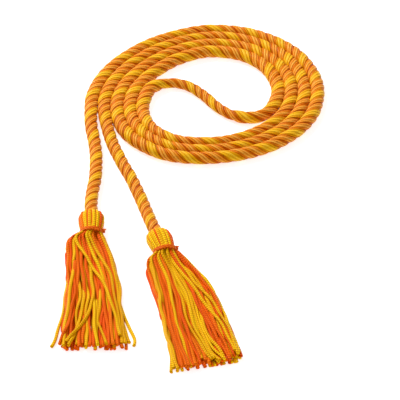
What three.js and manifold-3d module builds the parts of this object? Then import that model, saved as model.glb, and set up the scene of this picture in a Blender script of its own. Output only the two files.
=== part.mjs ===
// Honor cord: a soft twisted cord laid on a table in a flat double coil, with a tassel on each end.
// Millimetres, +Z up, the table at Z = 0, and +Y away from the viewer.

import * as THREE from "three";
import { mergeVertices } from "three/addons/utils/BufferGeometryUtils.js";
import Module from "manifold-3d";

const wasm = await Module();
wasm.setup();

// Cord
const cordWidth = 6.6;
const cordHeight = 5.8;
const cordSides = 12;
const turnGap = 0.55;
const turnPitch = cordWidth + turnGap;
const cordRestHeight = cordHeight / 2;

// Coil: the innermost turn's distance from the coil's centre, as shares of coilRadius.
// The first share is at the left (-X), and the others follow every 30 degrees by way of the near side (-Y).
const coilRadius = 38;
const coilOutline = [0.885, 1.02, 1.165, 1.125, 1.055, 1.01, 0.99, 1.035, 1.11, 1.075, 0.905, 0.83];
const stepsPerTurn = 16;
const leftArmTurns = 2;
const rightArmTurns = 1.5;

// Points of the cord that aren't coiled, from the coil's centre.
const middlePoints = [
  [-31.0, 7.1],
  [-25.7, 11.8],
  [-18.2, 13.3],
  [-10.2, 9.9],
  [-2.9, 1.8],
  [4.8, -10.2],
  [12.8, -18.2],
  [22.6, -21.4],
  [31.6, -17.2],
];

// Each tail point has a third value: its rise from the table to the head's middle, as a share.
const leftTailPoints = [
  [-62.9, -14.5, 0],
  [-62.4, -31.0, 0],
  [-60.6, -46.0, 0],
  [-59.4, -62.0, 0],
  [-59.7, -80.0, 0],
  [-61.1, -95.0, 0.05],
  [-61.3, -107.5, 0.75],
  [-61.1, -118.3, 1],
];
const rightTailPoints = [
  [-55.9, -14.5, 0],
  [-53.9, -30.5, 0],
  [-50.8, -47.5, 0],
  [-46.0, -64.0, 0],
  [-40.6, -80.0, 0],
  [-36.4, -95.5, 0],
  [-32.3, -111.5, 0.05],
  [-29.2, -125.5, 0.75],
  [-26.4, -136.0, 1],
];

// Tassels
const headWidth = 13.2;
const headHeight = 10.2;
const headLength = 14;
const headSettle = 0.3;
const headRibs = 10;
const headRibDepth = 0.25;
const headRingPoints = 40;
const neckWidth = 9.8;
const skirtLength = 99.5;
const skirtHalfWidth = 17;
const lockWidth = 5.6;
const lockHeight = 3.2;
const lockSides = 8;
const lockRings = 12;
const rootWidth = 11;
const rootLength = 4.7;
const jointGap = 0.3;
const headFlatness = headHeight / headWidth;
const headAxisHeight = headHeight / 2 - headSettle;

// Neck binding
const wrapThickness = 0.9;
const wrapCount = 3;
const bindingLength = wrapThickness * wrapCount;
const bindingGap = 0.3;
const bindingSegments = 28;
const neckEnd = headLength + bindingLength + 2 * bindingGap;
const knotRadius = 0.9;
const knotProud = 0.45;
const knotSegments = 10;
const knotRings = 6;

// One wrap of the binding: along and height are shares of wrapThickness.
const wrapOutline = [
  { along: 0.05, height: 0.55 },
  { along: 0.35, height: 1 },
  { along: 0.65, height: 1 },
  { along: 0.95, height: 0.55 },
];

// The head's outline, from the face that meets the cord to the neck.
// along is a share of headLength, and radius a share of half of headWidth.
const headOutline = [
  { along: 0, radius: 0.62, rib: 0 },
  { along: 0.03, radius: 0.84, rib: 0.6 },
  { along: 0.1, radius: 0.95, rib: 1 },
  { along: 0.25, radius: 1, rib: 1 },
  { along: 0.5, radius: 1, rib: 1 },
  { along: 0.75, radius: 0.96, rib: 1 },
  { along: 0.92, radius: 0.87, rib: 1 },
];

// Each skirt's fan, from the neck to the tips. along is a share of skirtLength.
// left and right are the fan's edges as shares of skirtHalfWidth.
// lift is a lock's place between where it rests (0) and where it leaves the neck (1).
// girth is a share of a lock's width and height.
const leftFan = [
  { along: 0, left: 0.37, right: 0.35, lift: 1, girth: 0.62 },
  { along: 0.03, left: 0.58, right: 0.45, lift: 0.97, girth: 0.76 },
  { along: 0.08, left: 0.7, right: 0.53, lift: 0.84, girth: 0.92 },
  { along: 0.17, left: 0.74, right: 0.67, lift: 0.52, girth: 1 },
  { along: 0.36, left: 0.77, right: 0.86, lift: 0.16, girth: 1 },
  { along: 0.65, left: 0.86, right: 0.95, lift: 0, girth: 1 },
  { along: 1, left: 1.02, right: 1.08, lift: 0, girth: 0.8 },
];
const rightFan = [
  { along: 0, left: 0.37, right: 0.37, lift: 1, girth: 0.62 },
  { along: 0.03, left: 0.54, right: 0.48, lift: 0.97, girth: 0.76 },
  { along: 0.08, left: 0.66, right: 0.62, lift: 0.84, girth: 0.92 },
  { along: 0.17, left: 0.75, right: 0.81, lift: 0.52, girth: 1 },
  { along: 0.36, left: 0.85, right: 1, lift: 0.16, girth: 1 },
  { along: 0.65, left: 1.05, right: 0.97, lift: 0, girth: 1 },
  { along: 1, left: 1.32, right: 0.87, lift: 0, girth: 0.8 },
];

// The two layers of locks. neck is the height at which they leave the neck, from its axis, as a share
// of the neck's height, and rest is the height at which they lie, as a share of lockHeight.
// A lock at either side leaves the neck nearer its axis, by the share sideDrop.
const lockLayers = [
  { neck: -0.22, rest: 0.5 },
  { neck: 0.34, rest: 1.25 },
];
const sideDrop = 0.6;

// The locks of each skirt. side runs from -1 to 1 across the fan, and reach is a share of skirtLength.
// sway moves a tip sideways, as a share of skirtHalfWidth, and layer 1 lies on layer 0.
const leftLocks = [
  { side: -1, layer: 0, reach: 0.93, sway: -0.04 },
  { side: -0.68, layer: 0, reach: 0.98, sway: 0 },
  { side: -0.36, layer: 0, reach: 1, sway: 0.04 },
  { side: -0.02, layer: 0, reach: 0.99, sway: -0.03 },
  { side: 0.32, layer: 0, reach: 1, sway: 0 },
  { side: 0.66, layer: 0, reach: 0.98, sway: 0.05 },
  { side: 1, layer: 0, reach: 0.9, sway: 0.04 },
  { side: -0.7, layer: 1, reach: 0.95, sway: -0.1 },
  { side: -0.35, layer: 1, reach: 0.99, sway: 0.05 },
  { side: 0, layer: 1, reach: 0.97, sway: 0.06 },
  { side: 0.38, layer: 1, reach: 0.99, sway: 0.1 },
  { side: 0.74, layer: 1, reach: 0.93, sway: 0.06 },
];
const rightLocks = [
  { side: -1, layer: 0, reach: 0.91, sway: -0.04 },
  { side: -0.67, layer: 0, reach: 0.95, sway: 0.03 },
  { side: -0.33, layer: 0, reach: 0.97, sway: 0 },
  { side: 0, layer: 0, reach: 0.98, sway: 0.03 },
  { side: 0.34, layer: 0, reach: 0.98, sway: 0 },
  { side: 0.68, layer: 0, reach: 0.96, sway: 0 },
  { side: 1, layer: 0, reach: 0.92, sway: 0.03 },
  { side: -0.72, layer: 1, reach: 0.93, sway: 0.04 },
  { side: -0.36, layer: 1, reach: 0.95, sway: 0 },
  { side: 0, layer: 1, reach: 0.97, sway: 0.05 },
  { side: 0.36, layer: 1, reach: 0.96, sway: 0.04 },
  { side: 0.72, layer: 1, reach: 0.94, sway: 0 },
];

const cordFinish = { color: 0xe08a22, roughness: 0.55, metalness: 0 };
const tasselFinish = { color: 0xeb9a1c, roughness: 0.6, metalness: 0 };
const bindingFinish = { color: 0xe0561c, roughness: 0.6, metalness: 0 };

// Points closer than this are one point of a mesh.
const mergeDistance = 1e-4;

// Distance of the innermost turn from the coil's centre at an angle in degrees, smoothly between the shares.
function innerRadius(angle) {
  const count = coilOutline.length;
  const place = (((angle % 360) + 360) % 360) / (360 / count);
  const index = Math.floor(place);
  const t = place - index;
  const [before, from, to, after] = [-1, 0, 1, 2].map((k) => coilOutline[(index + k + count) % count]);
  const cubic = 3 * (from - to) + after - before;
  const square = 2 * before - 5 * from + 4 * to - after;
  return coilRadius * (from + 0.5 * t * (to - before + t * (square + t * cubic)));
}

// A point of an arm of the coil, which gains one pitch every half turn.
function coilPoint(angle, armStart) {
  const radius = innerRadius(angle) + (turnPitch * (angle - armStart)) / 180;
  const radians = THREE.MathUtils.degToRad(angle);
  return new THREE.Vector3(-radius * Math.cos(radians), -radius * Math.sin(radians), cordRestHeight);
}

// An arm of the coil, from its inner end outwards.
function coilArm(armStart, turns) {
  const steps = Math.round(turns * stepsPerTurn);
  const angles = Array.from({ length: steps + 1 }, (_, step) => armStart + (360 * step) / stepsPerTurn);
  return angles.map((angle) => coilPoint(angle, armStart));
}

// A tail's points, which leave the table to enter the head at its middle.
function tail(points) {
  const rise = headAxisHeight - cordRestHeight;
  return points.map(([x, y, lift]) => new THREE.Vector3(x, y, cordRestHeight + rise * lift));
}

// The cord's middle line: its even steps are the chosen points, and its sections stay upright.
class CordRoute extends THREE.CatmullRomCurve3 {
  getPointAt(share, target) {
    return this.getPoint(share, target);
  }

  getTangentAt(share, target) {
    return this.getTangent(share, target);
  }

  computeFrenetFrames(steps) {
    const up = new THREE.Vector3(0, 0, 1);
    const tangents = Array.from({ length: steps + 1 }, (_, step) => this.getTangent(step / steps));
    const normals = tangents.map((tangent) => up.clone().cross(tangent).normalize());
    const binormals = tangents.map((tangent, step) => tangent.clone().cross(normals[step]));
    return { tangents, normals, binormals };
  }
}

// The cord's section: flat below, where it rests, and as wide and high as the cord.
function cordSection() {
  const section = new THREE.Shape();
  const toCorner = 1 / Math.cos(Math.PI / cordSides);
  for (let corner = 0; corner < cordSides; corner += 1) {
    const angle = ((corner + 0.5) * 2 * Math.PI) / cordSides;
    const x = 0.5 * cordWidth * toCorner * Math.cos(angle);
    const y = 0.5 * cordHeight * toCorner * Math.sin(angle);
    if (corner === 0) {
      section.moveTo(x, y);
    } else {
      section.lineTo(x, y);
    }
  }
  return section;
}

// A closed body through rings of points, which run counter-clockwise seen from its last ring.
function loft(rings) {
  const sides = rings[0].length;
  const last = (rings.length - 1) * sides;
  const faces = [];
  for (let ring = 0; ring < last; ring += sides) {
    for (let side = 0; side < sides; side += 1) {
      const next = (side + 1) % sides;
      faces.push(ring + side, ring + next, ring + sides + next);
      faces.push(ring + side, ring + sides + next, ring + sides + side);
    }
  }
  for (let side = 1; side < sides - 1; side += 1) {
    faces.push(0, side + 1, side);
    faces.push(last, last + side, last + side + 1);
  }
  const geometry = new THREE.BufferGeometry().setFromPoints(rings.flat());
  geometry.setIndex(faces);
  return geometry;
}

// A geometry as a solid that can be joined to others.
function solidOf(geometry) {
  const bare = geometry.clone();
  bare.deleteAttribute("normal");
  bare.deleteAttribute("uv");
  const merged = mergeVertices(bare, mergeDistance);
  const vertProperties = new Float32Array(merged.attributes.position.array);
  const triVerts = new Uint32Array(merged.index.array);
  return new wasm.Manifold(new wasm.Mesh({ numProp: 3, vertProperties, triVerts }));
}

// Several overlapping geometries as one closed geometry. A pocket that they enclose, whose walls face
// inwards and so bound a negative volume, is filled.
function fuse(geometries) {
  const [first, ...others] = geometries.map(solidOf);
  const whole = others.reduce((sum, piece) => sum.add(piece), first);
  const bodies = whole.decompose().filter((body) => body.volume() > 0);
  const mesh = wasm.Manifold.compose(bodies).getMesh();
  const geometry = new THREE.BufferGeometry();
  geometry.setAttribute("position", new THREE.BufferAttribute(mesh.vertProperties, 3));
  geometry.setIndex(new THREE.BufferAttribute(mesh.triVerts, 1));
  geometry.computeVertexNormals();
  return geometry;
}

// A ring round the tassel's axis, a little flattened, and flat where it would pass below the table.
function axisRing(along, radius, ribDepth) {
  return Array.from({ length: headRingPoints }, (_, point) => {
    const angle = (point * 2 * Math.PI) / headRingPoints;
    const reach = radius + 0.5 * ribDepth * (Math.cos(headRibs * angle) - 1);
    const z = headAxisHeight + headFlatness * reach * Math.sin(angle);
    return new THREE.Vector3(along, reach * Math.cos(angle), Math.max(0, z));
  });
}

// The head, with the folds of its strands as ribs, and the neck under the binding.
function headAndNeck() {
  const headRings = headOutline.map(({ along, radius, rib }) =>
    axisRing(along * headLength, (radius * headWidth) / 2, rib * headRibDepth),
  );
  return loft([
    ...headRings,
    axisRing(headLength, neckWidth / 2, 0),
    axisRing(neckEnd, neckWidth / 2, 0),
    axisRing(neckEnd + rootLength, rootWidth / 2, 0),
  ]);
}

// A column of a fan's table at a share of its length.
function fanAt(fan, share, column) {
  const next = Math.max(1, fan.findIndex((row) => row.along >= share));
  const from = fan[next - 1];
  const to = fan[next];
  const t = (share - from.along) / (to.along - from.along);
  return THREE.MathUtils.lerp(from[column], to[column], t);
}

// One lock of the skirt: a flattened tapering bundle that leaves the neck, falls to the table and fans out.
function lock({ side, layer, reach, sway }, fan) {
  const { neck, rest } = lockLayers[layer];
  const restHeight = rest * lockHeight;
  const neckHeight = headAxisHeight + neck * neckWidth * headFlatness * (1 - sideDrop * side * side);
  const middle = new THREE.CatmullRomCurve3(
    fan.map(({ along, left, right, lift, girth }) => {
      const edge = (girth * lockWidth) / 2;
      const leftMost = edge - left * skirtHalfWidth;
      const rightMost = right * skirtHalfWidth - edge;
      const lateral = THREE.MathUtils.lerp(leftMost, rightMost, (side + 1) / 2);
      return new THREE.Vector3(
        neckEnd + along * reach * skirtLength,
        lateral + sway * along * along * skirtHalfWidth,
        THREE.MathUtils.lerp(restHeight, neckHeight, lift),
      );
    }),
  );
  const rings = Array.from({ length: lockRings }, (_, ring) => {
    const centre = middle.getPoint(ring / (lockRings - 1));
    const share = (centre.x - neckEnd) / (reach * skirtLength);
    const girth = fanAt(fan, THREE.MathUtils.clamp(share, 0, 1), "girth");
    return Array.from({ length: lockSides }, (_, corner) => {
      const angle = ((corner + 0.5) * 2 * Math.PI) / lockSides;
      const y = centre.y + 0.5 * girth * lockWidth * Math.cos(angle);
      const z = centre.z + 0.5 * girth * lockHeight * Math.sin(angle);
      return new THREE.Vector3(centre.x, y, Math.max(0, z));
    });
  });
  return loft(rings);
}

function tassel(name, locks, fan) {
  const geometry = fuse([headAndNeck(), ...locks.map((row) => lock(row, fan))]);
  const mesh = new THREE.Mesh(geometry, new THREE.MeshStandardMaterial(tasselFinish));
  mesh.name = name;
  return mesh;
}

// The thread wound round the neck, with a bump for each wrap, and its knot at one side.
function neckBinding(name) {
  const inner = neckWidth / 2 + bindingGap;
  const profile = [new THREE.Vector2(inner, 0)];
  for (let wrap = 0; wrap < wrapCount; wrap += 1) {
    for (const { along, height } of wrapOutline) {
      profile.push(new THREE.Vector2(inner + height * wrapThickness, (wrap + along) * wrapThickness));
    }
  }
  profile.push(new THREE.Vector2(inner, bindingLength), new THREE.Vector2(inner, 0));
  const wraps = new THREE.LatheGeometry(profile, bindingSegments);
  wraps.rotateZ(-Math.PI / 2);
  const knot = new THREE.SphereGeometry(knotRadius, knotSegments, knotRings);
  knot.translate(bindingLength / 2, inner + wrapThickness + knotProud, 0);
  const geometry = fuse([wraps, knot]);
  geometry.scale(1, 1, headFlatness);
  geometry.translate(headLength + bindingGap, 0, headAxisHeight);
  const mesh = new THREE.Mesh(geometry, new THREE.MeshStandardMaterial(bindingFinish));
  mesh.name = name;
  return mesh;
}

function twistedCord(route) {
  const alongRoute = { extrudePath: route, steps: route.points.length - 1, bevelEnabled: false };
  const geometry = new THREE.ExtrudeGeometry(cordSection(), alongRoute);
  const mesh = new THREE.Mesh(geometry, new THREE.MeshStandardMaterial(cordFinish));
  mesh.name = "twisted_cord";
  return mesh;
}

// A tassel and its binding, set a small gap beyond an end of the cord and in line with it.
function cordEnd(pieces, point, direction) {
  const end = new THREE.Group();
  end.add(...pieces);
  const flat = new THREE.Vector3(direction.x, direction.y, 0).normalize();
  end.position.set(point.x + jointGap * flat.x, point.y + jointGap * flat.y, 0);
  end.rotation.z = Math.atan2(flat.y, flat.x);
  return end;
}

const route = new CordRoute([
  ...tail(leftTailPoints).reverse(),
  ...coilArm(0, leftArmTurns).reverse(),
  ...middlePoints.map(([x, y]) => new THREE.Vector3(x, y, cordRestHeight)),
  ...coilArm(180, rightArmTurns),
  ...tail(rightTailPoints),
]);

const layout = new THREE.Group();
layout.add(
  twistedCord(route),
  cordEnd(
    [tassel("tassel_left", leftLocks, leftFan), neckBinding("neck_binding_left")],
    route.getPoint(0),
    route.getTangent(0).negate(),
  ),
  cordEnd(
    [tassel("tassel_right", rightLocks, rightFan), neckBinding("neck_binding_right")],
    route.getPoint(1),
    route.getTangent(1),
  ),
);

// The whole cord is centred over the origin on the table.
const box = new THREE.Box3().setFromObject(layout, true);
const centre = box.getCenter(new THREE.Vector3());
layout.position.set(-centre.x, -centre.y, -box.min.z);

const honorCord = new THREE.Group();
honorCord.add(layout);

export default honorCord;
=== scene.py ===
import bpy
import numpy as np
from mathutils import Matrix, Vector


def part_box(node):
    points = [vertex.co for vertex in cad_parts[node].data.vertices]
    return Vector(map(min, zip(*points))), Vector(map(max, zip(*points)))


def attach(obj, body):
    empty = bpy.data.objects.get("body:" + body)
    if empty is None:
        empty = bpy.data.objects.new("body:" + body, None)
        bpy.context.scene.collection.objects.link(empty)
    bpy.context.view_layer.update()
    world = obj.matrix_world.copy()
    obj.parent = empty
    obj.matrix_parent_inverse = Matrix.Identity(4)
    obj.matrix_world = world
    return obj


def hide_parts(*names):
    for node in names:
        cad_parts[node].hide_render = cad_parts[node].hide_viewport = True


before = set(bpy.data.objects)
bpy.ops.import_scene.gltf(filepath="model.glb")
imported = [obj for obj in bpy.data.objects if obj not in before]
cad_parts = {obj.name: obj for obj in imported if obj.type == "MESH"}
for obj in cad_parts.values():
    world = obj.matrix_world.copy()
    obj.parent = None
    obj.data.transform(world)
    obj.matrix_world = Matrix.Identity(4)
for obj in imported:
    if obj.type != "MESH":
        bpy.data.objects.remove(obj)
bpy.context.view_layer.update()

# Honor cord laid flat in a double coil, with a tassel on each end.
# Metres, Z up from the table, Y away from the viewer.

# Cord: its points are counted from the middle of the coil
cord = {
    "width": 0.0066,            # of the smooth cord, across the turns
    "height": 0.0058,
    "turnPitch": 0.00715,       # from one turn to the next
    "coilRadius": 0.038,
    "coilOutline": [0.885, 1.02, 1.165, 1.125, 1.055, 1.01, 0.99, 1.035, 1.11, 1.075, 0.905, 0.83],
    "stepsPerTurn": 16,
    "leftArmTurns": 2,
    "rightArmTurns": 1.5,
    "middlePoints": [
        (-0.0310, 0.0071), (-0.0257, 0.0118), (-0.0182, 0.0133), (-0.0102, 0.0099), (-0.0029, 0.0018),
        (0.0048, -0.0102), (0.0128, -0.0182), (0.0226, -0.0214), (0.0316, -0.0172),
    ],
    "leftTail": [               # x, y and the rise to the middle of the tassel's head, as a share
        (-0.0629, -0.0145, 0), (-0.0624, -0.0310, 0), (-0.0606, -0.0460, 0), (-0.0594, -0.0620, 0),
        (-0.0597, -0.0800, 0), (-0.0611, -0.0950, 0.05), (-0.0613, -0.1075, 0.75), (-0.0611, -0.1183, 1),
    ],
    "rightTail": [
        (-0.0559, -0.0145, 0), (-0.0539, -0.0305, 0), (-0.0508, -0.0475, 0), (-0.0460, -0.0640, 0),
        (-0.0406, -0.0800, 0), (-0.0364, -0.0955, 0), (-0.0323, -0.1115, 0.05), (-0.0292, -0.1255, 0.75),
        (-0.0264, -0.1360, 1),
    ],
    "length": 1.5,
    "pointsPerSpan": 24,
    "step": 0.00078,            # between the points along the finished route
    "lay": 0.02013,             # one full turn of a ply along the cord
    "startTurn": 0.42,          # where the golden ply starts, in turns
    "twistWaves": [(0.35, 41, 0), (0.25, 97, 1)],       # each one's size, rate along the cord and start
    "plyOffset": 0.00175,       # of a ply's middle from the cord's
    "plyHalfDepth": 0.00185,
    "plyHalfWidth": 0.00238,
    "plyTurns": [0, 0.347, 0.653],      # places round the cord, the fuller golden ply first
    "plyShares": [1.16, 0.94, 0.94],    # of the half width
    "plySides": 16,
    "looseGirth": 0.98,         # of the tails
    "pressedGirth": 1.09,       # of the turns of the coil
    "pressedFromLeft": [0.09, 0.13],    # lengths from the left end in which the tail becomes a turn
    "pressedFromRight": [0.11, 0.15],   # and from the right end
    "middleGirth": 0.88,        # of the stretched S in the middle
    "middleReach": [0.026, 0.05],       # lengths from the middle of the S in which it becomes a turn
    "unevenness": 0.035,        # of a ply's girth, as a wave along the cord
    "unevenRate": 160,
}

# Tassels: local x runs from the cord to the tips, y to the right, z up
tassel = {
    "headWidth": 0.0132,
    "headHeight": 0.0102,
    "headLength": 0.0140,
    "headSettle": 0.0003,
    "bindingLength": 0.0027,
    "bindingGap": 0.0003,
    "jointGap": 0.0003,
    "skirtLength": 0.0995,
    "skirtHalfWidth": 0.017,
}
headFlatness = tassel["headHeight"] / tassel["headWidth"]
axisHeight = tassel["headHeight"] / 2 - tassel["headSettle"]
neckEnd = tassel["headLength"] + tassel["bindingLength"] + 2 * tassel["bindingGap"]
tableGap = 0.00003              # left free under everything that lies on the table


def innerRadius(angle):         # innermost turn's distance from the middle, smooth between the shares
    outline = cord["coilOutline"]
    place = (angle % 360) / (360 / len(outline))
    index = int(place)
    t = place - index
    before, start, end, after = [outline[(index + k) % len(outline)] for k in (-1, 0, 1, 2)]
    cubic = 3 * (start - end) + after - before
    square = 2 * before - 5 * start + 4 * end - after
    return cord["coilRadius"] * (start + 0.5 * t * (end - before + t * (square + t * cubic)))


def coilPoint(angle, armStart):
    radius = innerRadius(angle) + cord["turnPitch"] * (angle - armStart) / 180
    return (-radius * np.cos(np.radians(angle)), -radius * np.sin(np.radians(angle)), 0)


def coilArm(armStart, turns):
    steps = round(turns * cord["stepsPerTurn"])
    return [coilPoint(armStart + 360 * step / cord["stepsPerTurn"], armStart) for step in range(steps + 1)]


def smoothLine(points, perSpan):            # one smooth line through all the points
    points = np.array(points, float)
    first = 2 * points[0] - points[1]
    last = 2 * points[-1] - points[-2]
    knots = np.vstack([first, points, last])
    gaps = np.sqrt(np.linalg.norm(np.diff(knots, axis=0), axis=1))
    t = (np.arange(perSpan) / perSpan)[:, None]
    line = []
    for i in range(1, len(knots) - 2):
        a, b, c, d = knots[i - 1:i + 3]
        g0, g1, g2 = gaps[i - 1:i + 2]
        startPull = g1 * ((b - a) / g0 - (c - a) / (g0 + g1) + (c - b) / g1)
        endPull = g1 * ((c - b) / g1 - (d - b) / (g1 + g2) + (d - c) / g2)
        rest = 3 * (c - b) - 2 * startPull - endPull
        line.append(b + t * (startPull + t * (rest + t * (2 * (b - c) + startPull + endPull))))
    return np.vstack(line + [points[-1:]])


def lengthsAlong(line):
    return np.concatenate([[0], np.cumsum(np.linalg.norm(np.diff(line, axis=0), axis=1))])


def evenLine(line, step):                   # the same line with points an even step apart
    lengths = lengthsAlong(line)
    count = max(2, round(lengths[-1] / step)) + 1
    places = np.linspace(0, lengths[-1], count)
    return np.stack([np.interp(places, lengths, line[:, k]) for k in range(3)], axis=1)


def unit(vectors):
    return vectors / np.linalg.norm(vectors, axis=-1, keepdims=True)


def makeObject(name, verts, faces, uvs, slots, materials):
    mesh = bpy.data.meshes.new(name)
    mesh.from_pydata(verts.tolist(), [], faces)
    mapLayer = mesh.uv_layers.new(name="strandMap")
    mapLayer.data.foreach_set("uv", np.asarray(uvs, np.float32).ravel())
    for material in materials:
        mesh.materials.append(material)
    mesh.polygons.foreach_set("material_index", np.asarray(slots, np.int32))
    mesh.polygons.foreach_set("use_smooth", np.ones(len(faces), bool))
    mesh.update()
    made = bpy.data.objects.new(name, mesh)
    bpy.context.scene.collection.objects.link(made)
    return made


mapSeam = 1e-5                  # keeps a strand's last column of the map inside its own number
endCap = {
    "share": 0.7,               # of a tube's girth, for the narrower ring that closes it
    "lift": 0.35,               # of that ring past the tube's end, in half heights
    "pointLift": 1.4,           # of the closing point, in lifts
    "mapLength": 0.0004,        # of the closed end on the strand map
}


class TubeSet:                              # many closed tubes gathered into one mesh
    def __init__(self):
        self.verts, self.faces, self.uvs, self.slots, self.count = [], [], [], [], 0

    def add(self, line, upward, halfWidth, halfHeight, sides, slot, idNumber, floor=None):
        rings = len(line)
        along = unit(np.gradient(line, axis=0))
        up = unit(upward - along * np.sum(upward * along, axis=1, keepdims=True))
        across = np.cross(along, up)
        halfWidth = np.broadcast_to(halfWidth, rings)
        halfHeight = np.broadcast_to(halfHeight, rings)
        angles = 2 * np.pi * np.arange(sides) / sides
        body = (
            line[:, None]
            + np.cos(angles)[None, :, None] * (halfHeight[:, None] * up)[:, None]
            + np.sin(angles)[None, :, None] * (halfWidth[:, None] * across)[:, None]
        )
        ends = []
        for index, sign in ((0, -1), (-1, 1)):
            lift = sign * endCap["lift"] * halfHeight[index] * along[index]
            narrowRing = line[index] + lift + endCap["share"] * (body[index] - line[index])
            ends.append((narrowRing, line[index] + endCap["pointLift"] * lift))
        body = np.concatenate([ends[0][0][None], body, ends[1][0][None]])
        verts = np.concatenate([body.reshape(-1, 3), ends[0][1][None], ends[1][1][None]])
        if floor is not None:
            verts[:, 2] = np.maximum(verts[:, 2], floor)
        reach = lengthsAlong(line)
        reach = np.concatenate([[reach[0] - endCap["mapLength"]], reach, [reach[-1] + endCap["mapLength"]]])
        total = rings + 2
        base = self.count
        ring, side = np.meshgrid(np.arange(total - 1), np.arange(sides), indexing="ij")
        follow = (side + 1) % sides
        corners = [
            ring * sides + side, ring * sides + follow,
            (ring + 1) * sides + follow, (ring + 1) * sides + side,
        ]
        quads = np.stack(corners, axis=-1).reshape(-1, 4) + base
        u0 = idNumber + side / sides
        u1 = idNumber + (side + 1) / sides - mapSeam
        quadUvs = np.stack([
            np.stack([u0, reach[ring]], -1), np.stack([u1, reach[ring]], -1),
            np.stack([u1, reach[ring + 1]], -1), np.stack([u0, reach[ring + 1]], -1),
        ], axis=2).reshape(-1, 2)
        self.verts.append(verts)
        self.faces.extend(quads.tolist())
        self.uvs.append(quadUvs)
        low, high = total * sides + base, total * sides + 1 + base
        lastRing = (total - 1) * sides + base
        for k in range(sides):
            following = (k + 1) % sides
            self.faces.append([base + following, base + k, low])
            self.faces.append([lastRing + k, lastRing + following, high])
            uv = idNumber + k / sides
            self.uvs.append(np.array([[uv, reach[0]]] * 3 + [[uv, reach[-1]]] * 3))
        self.slots.extend([slot] * (len(quads) + 2 * sides))
        self.count += len(verts)

    def finish(self, name, materials):
        verts, uvs = np.concatenate(self.verts), np.concatenate(self.uvs)
        return makeObject(name, verts, self.faces, uvs, self.slots, materials)


# Route of the cord, repeated from the solid's points
plySpread = cord["plyOffset"] + cord["plyHalfDepth"]
squash = cord["height"] / (2 * plySpread)
restHeight = plySpread * squash * (1 + cord["unevenness"])


def tailPoints(points):
    return [(x, y, (axisHeight - restHeight) * lift) for x, y, lift in points]


routePoints = (
    tailPoints(cord["leftTail"])[::-1]
    + coilArm(0, cord["leftArmTurns"])[::-1]
    + [(x, y, 0) for x, y in cord["middlePoints"]]
    + coilArm(180, cord["rightArmTurns"])
    + tailPoints(cord["rightTail"])
)
routePoints = np.array(routePoints)
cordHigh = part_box("twisted_cord")[1]
coilMiddle = np.array([
    cordHigh.x - cord["width"] / 2 - routePoints[:, 0].max(),
    cordHigh.y - cord["width"] / 2 - routePoints[:, 1].max(),
    restHeight,
])
route = evenLine(smoothLine(routePoints + coilMiddle, cord["pointsPerSpan"]), cord["step"])
routeLengths = lengthsAlong(route)
pressed = np.minimum(               # 0 in the tails, 1 in the coil
    np.interp(routeLengths, cord["pressedFromLeft"], [0, 1]),
    np.interp(routeLengths[-1] - routeLengths, cord["pressedFromRight"], [0, 1]),
)
print("route", round(float(routeLengths[-1]), 3), "m")

# Camera at the photograph's angle, a little in front of the coil
view = {
    "elevation": 34,
    "distance": 3.0,
    "focalPixels": 5700,        # the lens, in pixels of the square picture
    "framePixels": 400,
    "sensor": 36,
    "aimFromCoil": (-0.00432, -0.09613),    # on the table, from the middle of the coil
}
aim = Vector((coilMiddle[0] + view["aimFromCoil"][0], coilMiddle[1] + view["aimFromCoil"][1], 0))
tilt = np.radians(view["elevation"])
camera = bpy.data.objects.new("camera", bpy.data.cameras.new("camera"))
camera.data.sensor_width = view["sensor"]
camera.data.lens = view["sensor"] * view["focalPixels"] / view["framePixels"]
camera.data.clip_end = 20
camera.location = aim + view["distance"] * Vector((0, -np.cos(tilt), np.sin(tilt)))
camera.rotation_euler = (np.pi / 2 - tilt, 0, 0)
bpy.context.scene.collection.objects.link(camera)
bpy.context.scene.camera = camera
print("camera ready")


# Shader node groups shared by the materials
def newGroup(name, inputs, outputs):
    group = bpy.data.node_groups.new(name, "ShaderNodeTree")
    for label, value in inputs:
        socket = group.interface.new_socket(label, in_out="INPUT", socket_type="NodeSocketFloat")
        socket.default_value = value
    for label in outputs:
        group.interface.new_socket(label, in_out="OUTPUT", socket_type="NodeSocketFloat")
    return group, group.nodes.new("NodeGroupInput"), group.nodes.new("NodeGroupOutput")


def addMath(tree, operation, first, second=None, third=None):
    node = tree.nodes.new("ShaderNodeMath")
    node.operation = operation
    for socket, value in zip(node.inputs, (first, second, third)):
        if isinstance(value, bpy.types.NodeSocket):
            tree.links.new(value, socket)
        elif value is not None:
            socket.default_value = value
    return node.outputs[0]


def strandPlace(tree):          # u around a strand, v along it in metres, and the strand's own number
    uvMap = tree.nodes.new("ShaderNodeUVMap")
    uvMap.uv_map = "strandMap"
    split = tree.nodes.new("ShaderNodeSeparateXYZ")
    tree.links.new(uvMap.outputs[0], split.inputs[0])
    around = addMath(tree, "FRACT", split.outputs[0])
    number = addMath(tree, "FLOOR", split.outputs[0])
    return around, split.outputs[1], number


def addNoise(tree, x, y, z, detail=2.0):
    joined = tree.nodes.new("ShaderNodeCombineXYZ")
    for socket, value in zip(joined.inputs, (x, y, z)):
        if isinstance(value, bpy.types.NodeSocket):
            tree.links.new(value, socket)
        else:
            socket.default_value = value
    noise = tree.nodes.new("ShaderNodeTexNoise")
    noise.inputs["Scale"].default_value = 1.0
    noise.inputs["Detail"].default_value = detail
    tree.links.new(joined.outputs[0], noise.inputs["Vector"])
    return noise.outputs[0]


def addBumps(tree, place, power):           # one rounded bump for each whole step of place
    wave = addMath(tree, "SINE", addMath(tree, "MULTIPLY", place, np.pi))
    return addMath(tree, "POWER", addMath(tree, "ABSOLUTE", wave), power)


def addSum(tree, first, firstShare, second, secondShare):
    return addMath(tree, "MULTIPLY_ADD", second, secondShare, addMath(tree, "MULTIPLY", first, firstShare))


sideShadeStart = 0.95           # cosine of the angle from a strand's top where its side, with its painted shade, begins


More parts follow.
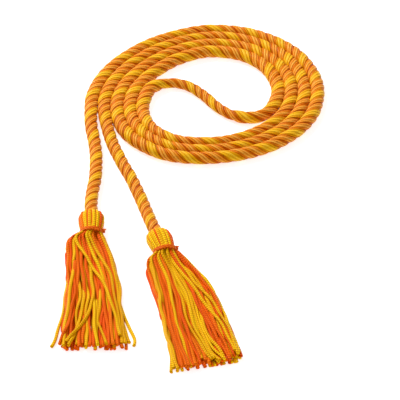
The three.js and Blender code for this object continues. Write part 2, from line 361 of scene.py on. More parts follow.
def addSideShade(tree, around, amount, shade):     # painted shade, darker where a strand turns in towards its neighbours
    outward = addMath(tree, "COSINE", addMath(tree, "MULTIPLY", around, 2 * np.pi))
    inward = addMath(tree, "MAXIMUM", addMath(tree, "SUBTRACT", sideShadeStart, outward), 0.0)
    return addMath(tree, "SUBTRACT", shade, addMath(tree, "MULTIPLY", inward, amount))


yarn = {
    "driftRate": 60,            # along a ply
    "drift": 1.2,               # in yarns
    "crownPower": 0.65,
    "filaments": 5.0,           # per yarn
    "filamentRate": 260,        # along a ply
    "filamentDetail": 3.0,
    "crownHeight": 0.75,
    "filamentHeight": 0.6,
    # shares of the yarn crowns and of the filament streaks in the painted shade and highlight
    "crownShade": 0.5,
    "filamentShade": 0.8,
}


def makeYarnGroup():                        # parallel yarns along a ply, with fine filaments: as bumps, and as painted shade and highlight
    inputs = [("Yarns", 11), ("Lean", 20), ("Side Shade", 0.6)]
    group, inside, outside = newGroup("yarnLines", inputs, ["Shade", "Height"])
    around, along, number = strandPlace(group)
    lean = addMath(group, "MULTIPLY", along, inside.outputs["Lean"])
    drift = addNoise(group, addMath(group, "MULTIPLY", along, yarn["driftRate"]), number, 0.0)
    place = addMath(group, "ADD", addMath(group, "MULTIPLY", around, inside.outputs["Yarns"]), lean)
    place = addMath(group, "ADD", place, addMath(group, "MULTIPLY", drift, yarn["drift"]))
    crown = addBumps(group, place, yarn["crownPower"])
    filamentAcross = addMath(group, "MULTIPLY", place, yarn["filaments"])
    filamentAlong = addMath(group, "MULTIPLY", along, yarn["filamentRate"])
    filament = addNoise(group, filamentAcross, filamentAlong, number, yarn["filamentDetail"])
    height = addSum(group, crown, yarn["crownHeight"], filament, yarn["filamentHeight"])
    # painted shade between the yarns and painted highlight on their crowns, streaked by the filaments
    shade = addSum(group, crown, yarn["crownShade"], filament, yarn["filamentShade"])
    shade = addSideShade(group, around, inside.outputs["Side Shade"], shade)
    group.links.new(shade, outside.inputs["Shade"])
    group.links.new(height, outside.inputs["Height"])
    return group


knit = {
    "numberShift": 0.37,        # of one strand's stitches against the next one's
    "loopPower": 0.9,
    "groovePower": 0.5,
    "loopHeight": 0.6,
    "grooveHeight": 0.4,
}


def makeKnitGroup():                        # chained stitches along a strand: as bumps, and as painted shade and highlight
    inputs = [("Pitch", 0.0011), ("Columns", 6), ("Lean", 0.35), ("Side Shade", 0.3)]
    group, inside, outside = newGroup("knitLoops", inputs, ["Shade", "Height"])
    around, along, number = strandPlace(group)
    column = addMath(group, "MULTIPLY", around, inside.outputs["Columns"])
    zigzag = addMath(group, "PINGPONG", column, 1.0)
    rise = addMath(group, "DIVIDE", along, inside.outputs["Pitch"])
    rise = addMath(group, "ADD", rise, addMath(group, "MULTIPLY", zigzag, inside.outputs["Lean"]))
    rise = addMath(group, "ADD", rise, addMath(group, "MULTIPLY", number, knit["numberShift"]))
    loop = addBumps(group, rise, knit["loopPower"])
    groove = addBumps(group, column, knit["groovePower"])
    height = addSum(group, loop, knit["loopHeight"], groove, knit["grooveHeight"])
    # painted shade between the stitches and the columns, painted highlight on the loops
    shade = addMath(group, "MULTIPLY", loop, groove)
    shade = addSideShade(group, around, inside.outputs["Side Shade"], shade)
    group.links.new(shade, outside.inputs["Shade"])
    group.links.new(height, outside.inputs["Height"])
    return group


def makeTintGroup():                        # each strand's own tint and slow change along it
    inputs = [("Own", 0.6), ("Slow", 0.5), ("Scale", 35)]
    group, inside, outside = newGroup("tintDrift", inputs, ["Tint"])
    around, along, number = strandPlace(group)
    white = group.nodes.new("ShaderNodeTexWhiteNoise")
    white.noise_dimensions = "1D"
    group.links.new(number, white.inputs["W"])
    slow = addNoise(group, addMath(group, "MULTIPLY", along, inside.outputs["Scale"]), number, around)
    total = 0.5
    for change, amount in ((white.outputs["Value"], "Own"), (slow, "Slow")):
        centred = addMath(group, "SUBTRACT", change, 0.5)
        total = addMath(group, "MULTIPLY_ADD", centred, inside.outputs[amount], total)
    group.links.new(total, outside.inputs["Tint"])
    return group


groups = {"yarnLines": makeYarnGroup(), "knitLoops": makeKnitGroup(), "tintDrift": makeTintGroup()}


def placeGroup(tree, name, values):
    node = tree.nodes.new("ShaderNodeGroup")
    node.node_tree = groups[name]
    for label, value in values.items():
        node.inputs[label].default_value = value
    return node


def addRamp(tree, factor, colours):
    ramp = tree.nodes.new("ShaderNodeValToRGB")
    for index, (place, colour) in enumerate(colours):
        point = ramp.color_ramp.elements[index] if index < 2 else ramp.color_ramp.elements.new(place)
        point.position = place
        point.color = (*colour, 1)
    tree.links.new(factor, ramp.inputs[0])
    return ramp.outputs[0]


def fibreMaterial(name, look):
    material = bpy.data.materials.new(name)
    material.use_nodes = True
    tree = material.node_tree
    shader = tree.nodes["Principled BSDF"]
    pattern = placeGroup(tree, look["pattern"], look["patternValues"])
    tint = placeGroup(tree, "tintDrift", look["tintValues"])
    base = addRamp(tree, tint.outputs["Tint"], look["tints"])
    # painted shade and painted highlight: the ramp of the pattern's shade multiplies the base tint
    paintedLightMix = tree.nodes.new("ShaderNodeMix")
    paintedLightMix.data_type = "RGBA"
    paintedLightMix.blend_type = "MULTIPLY"
    paintedLightMix.inputs["Factor"].default_value = 1.0
    tree.links.new(base, paintedLightMix.inputs["A"])
    tree.links.new(addRamp(tree, pattern.outputs["Shade"], look["paintedShadeAndHighlight"]), paintedLightMix.inputs["B"])
    tree.links.new(paintedLightMix.outputs["Result"], shader.inputs["Base Color"])
    rough = addMath(tree, "MULTIPLY_ADD", pattern.outputs["Shade"], look["roughChange"], look["roughness"])
    tree.links.new(rough, shader.inputs["Roughness"])
    bump = tree.nodes.new("ShaderNodeBump")
    bump.inputs["Strength"].default_value = look["bumpStrength"]
    bump.inputs["Distance"].default_value = look["bumpDistance"]
    tree.links.new(pattern.outputs["Height"], bump.inputs["Height"])
    tree.links.new(bump.outputs["Normal"], shader.inputs["Normal"])
    shader.inputs["Specular IOR Level"].default_value = look["specular"]
    shader.inputs["Sheen Weight"].default_value = look["sheen"]
    shader.inputs["Specular Tint"].default_value = (*look["glossTint"], 1)
    shader.inputs["Sheen Roughness"].default_value = 0.4
    shader.inputs["Sheen Tint"].default_value = (*look["sheenTint"], 1)
    return material


# Looks: tints run from low to high, and so does the ramp of painted shade in the grooves and painted
# highlight on the crests, which multiplies the tint
cordLook = {
    "pattern": "yarnLines",
    "patternValues": {"Yarns": 9, "Lean": 45, "Side Shade": 1.2},
    "tintValues": {"Own": 0.1, "Slow": 0.9, "Scale": 55},
    "roughness": 0.4,
    "roughChange": -0.08,
    "bumpStrength": 0.8,
    "bumpDistance": 0.0008,
    "specular": 0.12,
    "glossTint": (1.0, 0.6, 0.1),
    "sheen": 0.01,
}
cordGold = fibreMaterial("cordGold", {
    **cordLook,
    "tints": [(0.2, (0.79, 0.32, 0.002)), (0.8, (0.87, 0.41, 0.003))],
    # painted shade between the plies and yarns, up to a painted highlight on the crests
    "paintedShadeAndHighlight": [
        (0.0, (0.68, 0.34, 0.0)), (0.35, (0.90, 0.78, 0.1)),
        (0.65, (1.03, 1.05, 1.0)), (1.0, (1.1, 1.5, 14.0)),
    ],
    "sheenTint": (1.0, 0.7, 0.25),
})
cordOrange = fibreMaterial("cordOrange", {
    **cordLook,
    "tints": [(0.2, (0.76, 0.18, 0.002)), (0.8, (0.83, 0.25, 0.005))],
    # painted shade between the plies and yarns, up to a painted highlight on the crests
    "paintedShadeAndHighlight": [
        (0.0, (0.64, 0.30, 0.0)), (0.35, (0.88, 0.70, 0.1)),
        (0.65, (1.03, 1.12, 2.0)), (1.0, (1.14, 2.1, 20.0)),
    ],
    "sheenTint": (1.0, 0.55, 0.25),
})
strandLook = {
    "pattern": "knitLoops",
    "patternValues": {"Pitch": 0.0016, "Columns": 6, "Lean": 0.35, "Side Shade": 0.2},
    "tintValues": {"Own": 0.7, "Slow": 0.4, "Scale": 30},
    # painted shade between the stitches and strands, up to a painted highlight on the loops
    "paintedShadeAndHighlight": [(0.0, (0.64, 0.42, 0.0)), (0.4, (0.98, 0.92, 0.6)), (0.85, (1.1, 1.32, 2.2))],
    "roughness": 0.5,
    "roughChange": -0.1,
    "bumpStrength": 0.9,
    "bumpDistance": 0.0005,
    "specular": 0.1,
    "glossTint": (1.0, 0.5, 0.05),
    "sheen": 0.01,
}
strandGold = fibreMaterial("strandGold", {
    **strandLook,
    "tints": [(0.2, (0.87, 0.40, 0.0)), (0.8, (0.95, 0.54, 0.001))],
    "sheenTint": (1.0, 0.75, 0.2),
})
strandOrange = fibreMaterial("strandOrange", {
    **strandLook,
    "tints": [(0.1, (0.85, 0.080, 0.0)), (0.9, (0.93, 0.20, 0.001))],
    "sheenTint": (1.0, 0.45, 0.15),
})
bindingOrange = fibreMaterial("bindingOrange", {
    **strandLook,
    "tints": [(0.2, (0.76, 0.095, 0.002)), (0.8, (0.84, 0.16, 0.004))],
    "sheenTint": (1.0, 0.45, 0.15),
})
print("materials ready")


# Cord: three plies twisted to the right, one golden and two orange
def makeCord():
    tubes = TubeSet()
    along = unit(np.gradient(route, axis=0))
    side = unit(np.cross((0, 0, 1), along))
    above = np.cross(along, side)
    wander = sum(size * np.sin(routeLengths * rate + start) for size, rate, start in cord["twistWaves"])
    twist = 2 * np.pi * (routeLengths / cord["lay"] + cord["startTurn"]) + wander
    girth = cord["looseGirth"] + (cord["pressedGirth"] - cord["looseGirth"]) * pressed
    middleSpot = coilMiddle[:2] + cord["middlePoints"][len(cord["middlePoints"]) // 2]
    middleLength = routeLengths[np.argmin(np.linalg.norm(route[:, :2] - middleSpot, axis=1))]
    noLimit = 2
    fromMiddle = abs(routeLengths - middleLength)
    girth = np.minimum(girth, np.interp(fromMiddle, cord["middleReach"], [cord["middleGirth"], noLimit]))
    centre = route - np.outer(restHeight * np.maximum(0, 1 - girth), (0, 0, 1))
    for ply, (turn, share) in enumerate(zip(cord["plyTurns"], cord["plyShares"])):
        angle = twist + 2 * np.pi * turn
        out = np.cos(angle)[:, None] * side + np.sin(angle)[:, None] * above
        uneven = girth * (1 + cord["unevenness"] * np.sin(routeLengths * cord["unevenRate"] + 2 * ply))
        line = centre + cord["plyOffset"] * girth[:, None] * out
        halfWidth, halfDepth = share * cord["plyHalfWidth"] * uneven, cord["plyHalfDepth"] * uneven
        tubes.add(line, out, halfWidth, halfDepth, cord["plySides"], min(ply, 1), ply)
    for part in tubes.verts:                # flattened a little towards the cord's middle
        plyMiddle = np.repeat(centre[:, 2], cord["plySides"])
        ring = np.concatenate([plyMiddle[:cord["plySides"]], plyMiddle, plyMiddle[-cord["plySides"]:]])
        middle = np.concatenate([ring, centre[:1, 2], centre[-1:, 2]])
        part[:, 2] = np.maximum(middle + squash * (part[:, 2] - middle), tableGap)
    return tubes.finish("cordTwist", [cordGold, cordOrange])


cordPiece = makeCord()
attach(cordPiece, "root")
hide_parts("twisted_cord")
print("cord ready")

# Tassels: strands folded over the cord's end, tied at the neck and spread over the table
stations = [0, 0.1, 0.3, 0.5, 0.7, 0.9, 1]              # of the strands, as shares of the skirt's length
fanStations = [0, 0.03, 0.08, 0.16, 0.36, 0.65, 1]      # of the fan's edges
skirt = {
    "strandRadius": 0.00083,
    "widthShare": 1.1,          # of the radius, for a strand's half width
    "heightShare": 0.86,
    "sides": 10,
    "start": 0.0125,            # along the tassel
    "slices": 54,
    "bunching": 0.4,            # of the slices, towards the neck
    "pointsPerSlice": 2,
    "neckRadiusShare": 0.8,     # of a strand's radius where it is tied
    "neckReach": 0.0053,        # out to the surface of the tied bundle
    "neckHeights": [-0.8, -0.1, 0.7, 1],        # of levels 0 to 3, from the bundle's middle to its top
    "topLevel": 3,
    "neckSwell": 0.0012,        # rise of the upper strands just past the tie
    "swellLevel": 2,            # from which a strand counts as an upper one
    "swellStations": [0, 0.03, 0.06, 0.14],
    "neckShare": 0.04,          # of the skirt's length, before a strand is full and starts to fall
    "fallShare": 0.4,           # of its length, in which it falls to the table
    "levelsKept": 0.1,          # share of its length at the neck's level
    "levelsChange": 0.6,        # share in which it goes over to the tips' level
    "levelRise": 0.0015,        # from one level to the next, on the table
    "tieOverlap": 0.001,        # how far inside the tie the strands begin to come loose
    "looseLength": 0.014,
    "fillers": 40,
    "fillerGold": 0.3,
    "fillerSpread": 0.92,       # of the fan's half width
    "fillerDrift": 0.06,        # from station to station
    "fillerLimit": 0.97,
    "fillerReach": [0.93, 1.0],
    "wave": 0.0003,             # small bends to the side
    "waveRates": [150, 260],
    "waveStart": 0.03,          # length past the neck where they are full
    "rollStart": 0.7,           # turn of a strand about itself
    "roll": 0.6,
    "rollRates": [60, 140],
    "tipFlare": 0.12,
    "tipFlareLength": 0.003,
}
settling = {
    "rounds": 240,
    "sink": 0.00005,            # of a loose strand in each round
    "touching": 1.84,           # radii between the middles of two strands that touch
    "levelPush": 0.9,           # radii that a level counts for, where two strands part
    "push": 0.28,               # share of an overlap that a round undoes
    "smoothing": 0.3,
    "tethers": [0.14, 0.02],    # pull towards a row's own place, for those in sight and those underneath
    "unheld": 1e9,              # reach past the tie, so no limit
    "tiny": 1e-9,               # instead of a distance of zero
}
head = {
    "ribs": 16,
    "ribHalfWidth": 0.00112,
    "ribHalfDepth": 0.00105,
    "ribSides": 12,
    "creaseRadius": 0.00078,    # of the thin strands that show between the ribs
    "creaseSink": 0.0002,
    "unevenness": [0.985, 1.015],
    "lean": 0.05,               # of a rib to either side, in radians
    "leanRate": 180,
    "girthStations": [0, 0.004, 0.010, 0.015],      # along the tassel
    "girthShares": [0.75, 1, 0.98, 0.76],
    "pointsPerSpan": 4,
    "outline": [                # along the tassel, and out from its axis to a rib's middle
        (0.0006, 0.0028), (-0.0005, 0.0040), (-0.0002, 0.0052), (0.0015, 0.0058), (0.0044, 0.0059),
        (0.0075, 0.0056), (0.0104, 0.0052), (0.0128, 0.0048), (0.0150, 0.0046), (0.0172, 0.0045),
    ],
}

# Each row: colour, level from the table up at the neck and at the tips, reach,
# and places across the fan at the stations, from -1 at the left to 1 at the right
leftTassel = {
    "name": "Left",
    "node": "tassel_left",
    "bindingNode": "neck_binding_left",
    "seed": 4,
    "fanLeft": [0.42, 0.79, 0.81, 0.78, 0.78, 0.88, 1.03],
    "fanRight": [0.35, 0.44, 0.52, 0.65, 0.84, 0.93, 1.06],
    "ribColours": "goggggoogogoogoo",       # from the right side over the top to the left and under
    "creaseColours": "ogoooggooogogoog",
    "strands": [
        ("o", 2.0, 2.2, 0.98, [-0.92, -0.97, -0.98, -0.90, -0.88, -0.88, -0.86]),
        ("o", 2.3, 2.4, 0.97, [-0.84, -0.82, -0.85, -0.73, -0.72, -0.73, -0.66]),
        ("g", 2.3, 3.0, 0.99, [-0.68, -0.63, -0.80, -0.86, -0.90, -0.90, -0.90]),
        ("g", 1.0, 1.0, 0.96, [-0.92, -0.85, -0.92, -1.02, -1.08, -1.20, -1.40]),
        ("g", 3.8, 3.8, 0.90, [-0.66, -0.46, 0.06, 0.52, 0.72, 0.86, 0.92]),
        ("g", 3.0, 1.2, 0.94, [-0.04, 0.06, 0.32, 0.46, 0.58, 0.62, 0.60]),
        ("g", 3.2, 2.4, 0.95, [0.10, 0.28, 0.62, 0.78, 0.84, 0.90, 0.88]),
        ("g", 2.6, 2.6, 0.95, [0.95, 0.95, 0.96, 0.97, 0.93, 1.00, 0.92]),
        ("g", 2.8, 2.2, 0.90, [0.82, 0.86, 0.88, 0.90, 0.86, 0.92, 0.98]),
        ("o", 2.4, 2.4, 0.97, [0.62, 0.74, 0.82, 0.84, 0.80, 0.80, 0.80]),
        ("o", 2.6, 2.8, 0.98, [0.36, 0.56, 0.62, 0.68, 0.78, 0.70, 0.75]),
        ("o", 2.6, 2.8, 0.99, [0.28, 0.44, 0.46, 0.52, 0.62, 0.56, 0.60]),
        ("o", 2.6, 2.7, 0.98, [0.18, 0.22, 0.26, 0.34, 0.44, 0.46, 0.50]),
        ("o", 2.9, 2.6, 1.00, [0.00, -0.04, 0.00, 0.16, 0.26, 0.30, 0.35]),
        ("o", 2.8, 2.6, 1.00, [-0.24, -0.14, -0.22, -0.08, 0.06, 0.00, 0.05]),
        ("o", 2.7, 2.5, 1.00, [-0.46, -0.32, -0.44, -0.30, -0.14, -0.12, -0.12]),
        ("o", 2.6, 2.4, 0.99, [-0.56, -0.50, -0.62, -0.60, -0.48, -0.44, -0.40]),
        ("g", 1.2, 3.2, 0.98, [-0.30, -0.34, -0.40, -0.20, -0.24, -0.18, -0.20]),
        ("g", 1.2, 3.2, 0.98, [-0.18, -0.20, -0.12, 0.04, 0.02, 0.08, 0.12]),
        ("g", 1.5, 3.0, 0.97, [-0.60, -0.62, -0.66, -0.48, -0.56, -0.50, -0.45]),
        ("g", 1.2, 3.8, 0.97, [-0.10, -0.10, -0.10, 0.02, -0.12, -0.72, -0.96]),
        ("o", 2.2, 3.4, 0.97, [-0.80, -0.74, -0.72, -0.68, -0.76, -0.96, -1.06]),
        ("g", 1.0, 2.9, 0.97, [0.30, 0.22, 0.20, 0.20, 0.10, 0.10, 0.10]),
        ("g", 0.8, 3.2, 1.00, [0.34, 0.30, 0.30, 0.30, 0.18, 0.30, 0.44]),
        ("o", 0.8, 2.9, 1.00, [0.48, 0.40, 0.42, 0.40, 0.40, 0.26, 0.20]),
        ("o", 1.6, 2.4, 0.99, [0.70, 0.66, 0.70, 0.72, 0.90, 0.84, 0.90]),
        ("g", 1.8, 2.0, 0.95, [0.88, 0.90, 0.92, 0.92, 1.04, 1.38, 1.08]),
        ("g", 1.6, 2.2, 0.93, [0.80, 0.84, 0.86, 0.84, 0.88, 1.12, 1.20]),
        ("o", 2.4, 2.6, 0.98, [0.10, 0.10, 0.14, 0.24, 0.36, 0.40, 0.42]),
        ("g", 1.1, 3.4, 0.98, [-0.40, -0.42, -0.45, -0.30, -0.38, -0.66, -0.80]),
    ],
}
rightTassel = {
    "name": "Right",
    "node": "tassel_right",
    "bindingNode": "neck_binding_right",
    "seed": 9,
    "fanLeft": [0.42, 0.71, 0.77, 0.79, 0.86, 1.05, 1.24],
    "fanRight": [0.36, 0.48, 0.62, 0.80, 1.00, 0.97, 0.86],
    "ribColours": "oogggggggogogogo",
    "creaseColours": "googogooggogogoo",
    "strands": [
        ("o", 2.4, 2.0, 0.97, [-0.92, -0.96, -0.97, -0.92, -0.87, -0.84, -0.86]),
        ("g", 2.6, 2.6, 0.99, [-0.80, -0.78, -0.91, -1.00, -1.01, -0.99, -0.95]),
        ("o", 2.6, 2.6, 0.99, [-0.62, -0.60, -0.68, -0.80, -0.82, -0.80, -0.84]),
        ("o", 2.6, 2.6, 0.98, [-0.48, -0.48, -0.54, -0.68, -0.70, -0.66, -0.66]),
        ("g", 2.8, 2.9, 1.00, [-0.40, -0.34, -0.48, -0.62, -0.60, -0.60, -0.57]),
        ("o", 2.5, 2.8, 1.00, [-0.22, -0.22, -0.36, -0.46, -0.46, -0.42, -0.40]),
        ("o", 2.4, 2.8, 1.00, [-0.16, -0.14, -0.28, -0.38, -0.36, -0.30, -0.30]),
        ("o", 2.2, 2.7, 0.99, [-0.30, -0.30, -0.42, -0.54, -0.54, -0.50, -0.48]),
        ("g", 2.9, 2.9, 0.97, [-0.20, -0.08, -0.20, -0.26, -0.22, 0.00, 0.26]),
        ("g", 2.9, 2.9, 0.99, [0.22, 0.10, 0.08, 0.06, 0.01, 0.14, 0.40]),
        ("g", 3.0, 2.7, 0.97, [0.02, 0.00, -0.03, -0.06, -0.10, 0.06, 0.32]),
        ("g", 1.6, 2.9, 0.98, [0.35, 0.22, 0.18, 0.16, 0.12, 0.28, 0.50]),
        ("o", 2.9, 2.8, 0.98, [0.44, 0.33, 0.34, 0.36, 0.42, 0.50, 0.55]),
        ("o", 2.7, 2.8, 0.97, [0.64, 0.52, 0.52, 0.50, 0.58, 0.66, 0.70]),
        ("o", 2.4, 2.6, 0.98, [0.30, 0.28, 0.24, 0.24, 0.30, 0.36, 0.42]),
        ("g", 2.9, 3.3, 0.95, [0.60, 0.44, 0.50, 0.80, 0.92, 0.92, 0.90]),
        ("g", 2.4, 3.6, 0.94, [0.30, 0.24, 0.28, 0.52, 0.80, 0.86, 0.82]),
        ("o", 2.8, 2.6, 0.93, [0.94, 0.80, 0.86, 0.90, 0.86, 0.88, 0.94]),
        ("g", 2.6, 2.4, 0.94, [0.98, 0.95, 0.97, 0.97, 0.96, 0.96, 0.98]),
        ("o", 2.7, 2.7, 0.95, [0.78, 0.68, 0.72, 0.72, 0.74, 0.80, 0.84]),
        ("g", 2.2, 2.8, 0.97, [0.70, 0.60, 0.65, 0.65, 0.68, 0.72, 0.74]),
        ("g", 1.0, 2.8, 0.99, [0.34, 0.28, 0.26, 0.22, 0.18, 0.40, 0.52]),
        ("g", 1.4, 1.4, 0.97, [-0.80, -0.80, -0.90, -0.97, -0.98, -1.04, -1.10]),
        ("g", 1.2, 1.2, 0.98, [-0.74, -0.70, -0.84, -0.92, -0.96, -1.08, -1.20]),
        ("o", 1.8, 1.8, 0.95, [0.90, 0.86, 0.90, 0.88, 0.98, 0.98, 0.96]),
        ("o", 2.4, 2.6, 0.98, [-0.56, -0.54, -0.60, -0.74, -0.76, -0.74, -0.74]),
        ("g", 2.6, 2.6, 0.98, [0.14, 0.04, 0.02, -0.02, -0.06, 0.10, 0.34]),
        ("o", 2.6, 2.6, 0.98, [0.54, 0.44, 0.44, 0.44, 0.50, 0.58, 0.62]),
    ],
}


def fillerStrands(look):                    # plain strands underneath
    random = np.random.default_rng(look["seed"])
    spread, limit = skirt["fillerSpread"], skirt["fillerLimit"]
    rows = []
    for index in range(skirt["fillers"]):
        place = -spread + 2 * spread * (index + 0.5) / skirt["fillers"]
        drift = np.cumsum(random.normal(0, skirt["fillerDrift"], len(stations)))
        colour = "g" if random.random() < skirt["fillerGold"] else "o"
        level = random.choice([0.0, 1.0])   # on the table, or resting on those that are
        places = list(np.clip(place + drift, -limit, limit))
        rows.append((colour, level, level, random.uniform(*skirt["fillerReach"]), places))
    return rows


def settleStrands(places, radii, levels, tether, loose):    # places: strand, slice, (across, height)
    wanted = places[:, :, 0].copy()
    bias = settling["levelPush"] * skirt["strandRadius"] * (levels[:, None] - levels[None, :])
    touching = settling["touching"] * radii[None, :]
    itself = np.eye(len(places), dtype=bool)[:, :, None]
    held = np.where(loose > 0, settling["unheld"], skirt["neckReach"] - radii)
    for _ in range(settling["rounds"]):
        places[:, :, 1] -= settling["sink"] * loose
        apart = places[:, None] - places[None, :]
        distance = np.linalg.norm(apart, axis=-1)
        apart[..., 1] += bias
        overlap = np.where(itself, 0, np.maximum(0, touching - distance))
        direction = apart / np.maximum(np.linalg.norm(apart, axis=-1), settling["tiny"])[..., None]
        places += settling["push"] * np.sum(direction * overlap[..., None], axis=1)
        smoothed = 0.5 * (places[:, :-2] + places[:, 2:])
        places[:, 1:-1] += settling["smoothing"] * (smoothed - places[:, 1:-1])
        places[:, :, 0] += tether * (wanted - places[:, :, 0])
        places[:, :, 1] = np.maximum(places[:, :, 1], radii)
        fromAxis = (places - (0, axisHeight)) / (1, headFlatness)
        reach = np.linalg.norm(fromAxis, axis=-1)
        shrink = np.minimum(1, held / np.maximum(reach, settling["tiny"]))
        places[:] = (0, axisHeight) + fromAxis * shrink[..., None] * (1, headFlatness)
    return places


def smoothChart(values, along):             # a row's places between the stations, without corners
    steps, halfWindow = 101, 8
    fine = np.linspace(0, 1, steps)
    chart = np.interp(fine, stations, values)
    window = np.hanning(2 * halfWindow + 1)
    padded = np.concatenate([np.full(halfWindow, chart[0]), chart, np.full(halfWindow, chart[-1])])
    return np.interp(along, fine, np.convolve(padded, window / window.sum(), mode="valid"))


def skirtStrands(look):
    rows = look["strands"] + fillerStrands(look)
    spread = np.linspace(0, 1, skirt["slices"])
    spread = (1 - skirt["bunching"]) * spread + skirt["bunching"] * spread ** 2
    x = skirt["start"] + (neckEnd + tassel["skirtLength"] - skirt["start"]) * spread
    along = np.clip((x - neckEnd) / tassel["skirtLength"], 0, 1)
    left = -tassel["skirtHalfWidth"] * np.interp(along, fanStations, look["fanLeft"])
    right = tassel["skirtHalfWidth"] * np.interp(along, fanStations, look["fanRight"])
    shares = np.array([smoothChart(row[4], along) for row in rows])
    neckLevels, tipLevels = np.array([row[1:3] for row in rows]).T[:, :, None]
    change = np.clip((along - skirt["levelsKept"]) / skirt["levelsChange"], 0, 1)
    levels = neckLevels + (tipLevels - neckLevels) * change
    radii = skirt["strandRadius"] * np.interp(along, [0, skirt["neckShare"]], [skirt["neckRadiusShare"], 1])
    across = (left + radii) + (right - left - 2 * radii) * (shares + 1) / 2
    reach = skirt["neckReach"] - radii[0]
    arch = np.sqrt(np.maximum(0, reach ** 2 - np.clip(across, -reach, reach) ** 2))
    archShare = np.interp(neckLevels, range(len(skirt["neckHeights"])), skirt["neckHeights"])
    neckHeight = axisHeight + headFlatness * arch * archShare
    restingHeight = radii + skirt["levelRise"] * np.minimum(levels, skirt["topLevel"])
    fall = np.clip((along - skirt["neckShare"]) / skirt["fallShare"], 0, 1)
    fall = fall * fall * (3 - 2 * fall)
    swell = skirt["neckSwell"] * np.interp(along, skirt["swellStations"], [0, 1, 1, 0])
    swell = swell * (neckLevels >= skirt["swellLevel"])
    places = np.stack([across, neckHeight + (restingHeight - neckHeight) * fall + swell], axis=-1)
    tether = np.where(neckLevels >= 1, *settling["tethers"])
    loose = np.clip((x - neckEnd + skirt["tieOverlap"]) / skirt["looseLength"], 0, 1)
    places = settleStrands(places, radii, levels, tether, loose)
    return rows, x, radii, places


def tasselPlace(routeEnd, outward):
    flat = unit(np.array([outward[0], outward[1], 0]))
    return routeEnd * (1, 1, 0) + tassel["jointGap"] * flat, flat, np.array([-flat[1], flat[0], 0])


def toWorld(local, place):                  # from the tassel's own x, y, z
    base, forward, sideways = place
    local = np.asarray(local)
    return base + local[:, :1] * forward + local[:, 1:2] * sideways + local[:, 2:] * (0, 0, 1)


def addHead(tubes, look, place, number, random):
    outline = smoothLine([(x, out, 0) for x, out in head["outline"]], head["pointsPerSpan"])
    girth = np.interp(outline[:, 0], head["girthStations"], head["girthShares"])
    layers = [
        (look["ribColours"], 0, head["ribHalfWidth"], head["ribHalfDepth"]),
        (look["creaseColours"], head["creaseSink"], head["creaseRadius"], head["creaseRadius"]),
    ]
    for layer, (colours, sink, halfWidth, halfDepth) in enumerate(layers):
        for rib, colour in enumerate(colours):
            angle = 2 * np.pi * (rib + 0.5 + 0.5 * layer) / head["ribs"]
            reach = (outline[:, 1] - sink) * random.uniform(*head["unevenness"])
            lean = angle + head["lean"] * np.sin(outline[:, 0] * head["leanRate"] + rib)
            height = axisHeight + headFlatness * reach * np.sin(lean)
            local = np.stack([outline[:, 0], reach * np.cos(lean), height], axis=1)
            outward = np.outer(np.ones(len(local)), (0, np.cos(angle), np.sin(angle)))
            tubes.add(
                toWorld(local, place), toWorld(outward, place) - place[0],
                halfWidth * girth, halfDepth * girth, head["ribSides"], "go".index(colour), number,
                floor=tableGap,
            )
            number += 1
    return number


def randomWave(random, lengths, size, rates):
    return size * np.sin(lengths * random.uniform(*rates) + random.uniform(0, 6))


def addSkirt(tubes, look, place, number, random):
    rows, x, radii, places = skirtStrands(look)
    for row, spots in zip(rows, places):
        end = int(np.searchsorted(x, neckEnd + row[3] * tassel["skirtLength"]))
        free = np.clip((x[:end] - neckEnd) / skirt["waveStart"], 0, 1)
        wave = randomWave(random, x[:end], skirt["wave"], skirt["waveRates"])
        local = np.stack([x[:end], spots[:end, 0] + wave * free, spots[:end, 1]], 1)
        line = smoothLine(toWorld(local, place), skirt["pointsPerSlice"])
        reach = lengthsAlong(line)
        roll = random.uniform(-skirt["rollStart"], skirt["rollStart"])
        roll = roll + randomWave(random, reach, skirt["roll"], skirt["rollRates"])
        up = np.sin(roll)[:, None] * place[2] + np.cos(roll)[:, None] * np.array([0, 0, 1])
        girth = np.interp(np.linspace(0, 1, len(line)), np.linspace(0, 1, end), radii[:end])
        toTip = np.clip((reach - reach[-1] + skirt["tipFlareLength"]) / skirt["tipFlareLength"], 0, 1)
        girth = girth * (1 + skirt["tipFlare"] * toTip)
        tubes.add(
            line, up, skirt["widthShare"] * girth, skirt["heightShare"] * girth,
            skirt["sides"], "go".index(row[0]), number, floor=tableGap,
        )
        number += 1


def makeTassel(look, place):
    random = np.random.default_rng(look["seed"] + 100)
    tubes = TubeSet()
    number = addHead(tubes, look, place, 0, random)
    addSkirt(tubes, look, place, number, random)
    piece = tubes.finish("tassel" + look["name"], [strandGold, strandOrange])
    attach(piece, "root")
    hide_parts(look["node"])


# Binding: a thread wound round the neck and knotted at the right
binding = {
    "threadRadius": 0.00060,
    "reach": 0.0056,            # out from the neck's axis to the thread
    "reachWave": 0.00010,
    "turns": 4.2,
    "length": 0.0025,
    "lengthWave": 0.0003,
    "lengthWaveRate": 0.7,      # waves per turn
    "tilt": 0.5,                # the top of a turn leans towards the tips
    "setBack": 0.0010,          # from the middle of the neck towards the cord, at the sides
    "sides": 10,
    "stepsPerTurn": 40,
    "endRadius": 0.0004,        # of the thread in the knot and its tail
    "endSides": 8,
    "knotRadius": 0.0009,
    "knotPoints": 48,
    "knotPlace": (0, 0.0009, 0.0008),           # along, out and up from the binding's right side
    "knotUpward": (0.3, 0.1, 1),
    "tailLength": 0.0014,
    "tailPoints": 10,
    "tailPlace": (-0.0002, 0.001, 0.001),
    "tailShares": (-0.3, 0.6, 0.2),             # of its length, along, out and up
    "tailBend": 2.5,
}


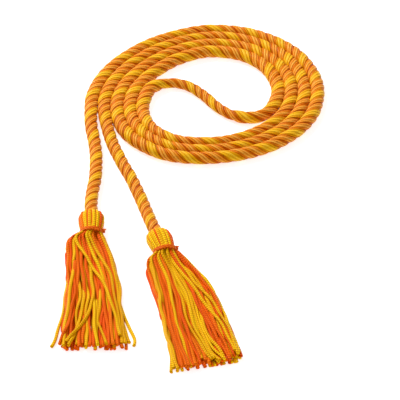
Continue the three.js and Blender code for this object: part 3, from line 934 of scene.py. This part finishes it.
def makeBinding(look, place):
    tubes = TubeSet()
    middle = tassel["headLength"] + tassel["bindingGap"] + tassel["bindingLength"] / 2 - binding["setBack"]
    turn = np.linspace(0, binding["turns"], round(binding["turns"] * binding["stepsPerTurn"]))
    angle = 2 * np.pi * turn
    reach = binding["reach"] + binding["reachWave"] * np.sin(3 * angle)
    rise = headFlatness * reach * np.sin(angle)
    drift = binding["length"] * (turn / binding["turns"] - 0.5)
    drift = drift + binding["lengthWave"] * np.sin(binding["lengthWaveRate"] * angle + 1)
    local = np.stack([middle + drift + binding["tilt"] * rise, reach * np.cos(angle), axisHeight + rise], 1)
    outward = np.stack([0 * angle, np.cos(angle), np.sin(angle)], 1)
    tubes.add(
        toWorld(local, place), toWorld(outward, place) - place[0],
        binding["threadRadius"], binding["threadRadius"], binding["sides"], 0, 0, floor=tableGap,
    )
    rightSide = np.array([middle, binding["reach"], axisHeight])
    bend = np.linspace(0, 2 * np.pi, binding["knotPoints"])     # the knot is a small closed trefoil of thread
    knotAlong, knotUp = np.sin(bend) + 2 * np.sin(2 * bend), np.cos(bend) - 2 * np.cos(2 * bend)
    knot = np.stack([knotAlong, -np.sin(3 * bend), knotUp], 1)
    knot = rightSide + binding["knotPlace"] + binding["knotRadius"] / 3 * knot
    bend = np.linspace(0, 1, binding["tailPoints"])             # the thread's cut tail
    tail = np.stack([bend, bend, np.sin(binding["tailBend"] * bend)], 1)
    tail = rightSide + binding["tailPlace"] + binding["tailLength"] * np.array(binding["tailShares"]) * tail
    for number, (thread, upward) in enumerate(((knot, binding["knotUpward"]), (tail, (0, 0, 1))), 1):
        tubes.add(
            toWorld(thread, place), np.outer(np.ones(len(thread)), upward),
            binding["endRadius"], binding["endRadius"], binding["endSides"], 0, number,
        )
    piece = tubes.finish("binding" + look["name"], [bindingOrange])
    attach(piece, "root")
    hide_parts(look["bindingNode"])


endSteps = 3                    # of the route, that give a tassel its direction
cordEnds = [
    (leftTassel, route[0], route[0] - route[endSteps]),
    (rightTassel, route[-1], route[-1] - route[-1 - endSteps]),
]
for look, routeEnd, outward in cordEnds:
    place = tasselPlace(routeEnd, outward)
    makeTassel(look, place)
    makeBinding(look, place)
    print("tassel ready", look["name"])

# Stage: pale table and soft light
stage = {
    "size": 3.0,
    "floorColour": (0.62, 0.62, 0.62),
    "floorGlow": 0.7,
    "skyStrength": 0.4,
    "lights": [                 # name, place, size and power
        ("keyLight", (-0.9, 1.2, 1.25), 0.8, 48),
        ("fillLight", (1.2, -1.0, 1.4), 1.4, 8),
    ],
}


def makeStage():
    bpy.ops.mesh.primitive_plane_add(size=stage["size"], location=(0, 0, 0))
    floor = bpy.context.object
    floor.name = "floor"
    material = bpy.data.materials.new("paleFloor")
    material.use_nodes = True
    shader = material.node_tree.nodes["Principled BSDF"]
    shader.inputs["Base Color"].default_value = (*stage["floorColour"], 1)
    shader.inputs["Roughness"].default_value = 0.9
    shader.inputs["Specular IOR Level"].default_value = 0.1
    shader.inputs["Emission Color"].default_value = (1, 1, 1, 1)
    shader.inputs["Emission Strength"].default_value = stage["floorGlow"]
    floor.data.materials.append(material)
    world = bpy.data.worlds.new("sky")
    bpy.context.scene.world = world
    world.use_nodes = True
    world.node_tree.nodes["Background"].inputs["Strength"].default_value = stage["skyStrength"]
    world.node_tree.nodes["Background"].inputs["Color"].default_value = (1, 1, 1, 1)
    for name, place, size, power in stage["lights"]:
        light = bpy.data.objects.new(name, bpy.data.lights.new(name, "AREA"))
        light.data.size = size
        light.data.energy = power
        light.location = place
        light.rotation_euler = (aim - Vector(place)).to_track_quat("-Z", "Y").to_euler()
        bpy.context.scene.collection.objects.link(light)


makeStage()
bpy.context.scene.view_settings.view_transform = "Standard"
print("stage ready")
